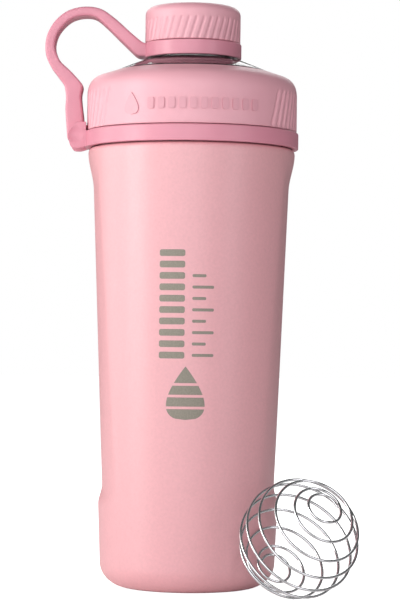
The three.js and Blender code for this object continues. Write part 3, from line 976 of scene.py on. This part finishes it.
place(outer_shell(), "bottle", "coat", "outer_shell")
place(inner_liner(), "bottle", "steel", "inner_liner")
place(base_plate(), "bottle", "steel", "base_plate")
place(front_mark(), "bottle", "steel")
place(lid_shell(), "lid", "lid_plastic", "lid_shell")
place(lid_emblem(), "lid", "lid_plastic")
place(lid_core(), "lid", "clear_plastic", "lid_core")
place(lid_seal(), "gasket", "silicone", "lid_seal")
place(loop_base_ring(), "lid", "loop_plastic", "loop_base_ring")
place(hinge_pin(), "lid", "steel", "hinge_pin")
place(tether_ring(), "tether", "loop_plastic", "tether_ring")
place(cap_shell(), "cap", "lid_plastic", "cap_shell")
place(cap_core(), "cap", "clear_plastic", "cap_core")
place(cap_seal(), "cap", "silicone", "cap_seal")
place(whisk_ball(), "whisk", "wire", "whisk_ball")

strap = carry_loop()
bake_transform(strap)
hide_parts("carry_loop")

for node in ("vacuum_getter", "vacuum_port_seal"):
    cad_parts[node].data.materials.clear()
    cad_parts[node].data.materials.append(DULL)


# ---------------------------------------------------------------- stage, light, camera

CAMERA_DISTANCE = 1.0257
CAMERA_HEIGHT = 0.1097
LENS = 137.0
PITCH = math.radians(1.05)
ROLL = math.radians(0.64)
WORLD_LIGHT = 0.12
CAMERA_SIDE = 0.0045


def floor_white():
    """Matt white, lifted to plain white where the camera sees it directly."""
    material = principled("floor_white", (0.9, 0.9, 0.9), 0.9)
    nodes, links = material.node_tree.nodes, material.node_tree.links
    rays = nodes.new("ShaderNodeLightPath")
    shader = nodes["Principled BSDF"]
    shader.inputs["Emission Color"].default_value = (1, 1, 1, 1)
    links.new(rays.outputs["Is Camera Ray"], shader.inputs["Emission Strength"])
    return material


def stage_floor():
    size = 6.0
    mesh = bpy.data.meshes.new("floor")
    corners = [(-size, -size, 0), (size, -size, 0), (size, size, 0), (-size, size, 0)]
    mesh.from_pydata(corners, [], [[0, 1, 2, 3]])
    mesh.materials.append(floor_white())
    floor = bpy.data.objects.new("floor", mesh)
    floor.location.z = -0.0001
    bpy.context.scene.collection.objects.link(floor)


def soft_light(name, place_at, aim, width, height, power, color=(1, 1, 1)):
    data = bpy.data.lights.new(name, "AREA")
    data.shape = "RECTANGLE"
    data.size, data.size_y = width, height
    data.energy = power
    data.color = color
    light = bpy.data.objects.new(name, data)
    light.location = place_at
    light.rotation_euler = (Vector(aim) - Vector(place_at)).to_track_quat("-Z", "Y").to_euler()
    light.visible_camera = False
    bpy.context.scene.collection.objects.link(light)


def studio():
    """World that is white to the camera but dim as a light, and five soft lights."""
    world = bpy.data.worlds.new("studio")
    bpy.context.scene.world = world
    world.use_nodes = True
    nodes, links = world.node_tree.nodes, world.node_tree.links
    background = nodes["Background"]
    background.inputs["Color"].default_value = (1, 1, 1, 1)
    rays = nodes.new("ShaderNodeLightPath")
    strength = nodes.new("ShaderNodeMapRange")
    strength.inputs["To Min"].default_value = WORLD_LIGHT
    strength.inputs["To Max"].default_value = 1.0
    direct = nodes.new("ShaderNodeMath")
    direct.operation = "MAXIMUM"
    links.new(rays.outputs["Is Camera Ray"], direct.inputs[0])
    links.new(rays.outputs["Is Transmission Ray"], direct.inputs[1])
    links.new(direct.outputs[0], strength.inputs["Value"])
    links.new(strength.outputs["Result"], background.inputs["Strength"])
    target = (0, 0, 0.13)
    soft_light("front", (-0.24, -1.30, 0.45), target, 1.5, 1.1, 10.6, (1, 0.975, 1))
    soft_light("key", (-1.0, -0.50, 0.30), target, 0.40, 1.0, 8.8, (1, 0.985, 0.95))
    soft_light("left", (-1.2, 0.20, 0.30), target, 0.5, 1.0, 4.5, (1, 0.985, 0.95))
    soft_light("right", (0.88, -0.82, 0.30), target, 0.35, 1.0, 2.6, (1, 0.96, 1))
    soft_light("back", (-0.1, 0.95, 0.85), (0, 0, 0.24), 1.5, 0.6, 5.5)


def camera():
    data = bpy.data.cameras.new("camera")
    data.lens = LENS
    data.sensor_fit = "VERTICAL"
    data.sensor_height = 36
    data.clip_start = 0.05
    obj = bpy.data.objects.new("camera", data)
    obj.location = (CAMERA_SIDE, -CAMERA_DISTANCE, CAMERA_HEIGHT)
    obj.rotation_mode = "XYZ"
    obj.rotation_euler = (math.pi / 2 + PITCH, 0, 0)
    obj.rotation_euler.rotate_axis("Z", ROLL)
    bpy.context.scene.collection.objects.link(obj)
    bpy.context.scene.camera = obj


stage_floor()
studio()
camera()
bpy.context.scene.view_settings.view_transform = "Standard"
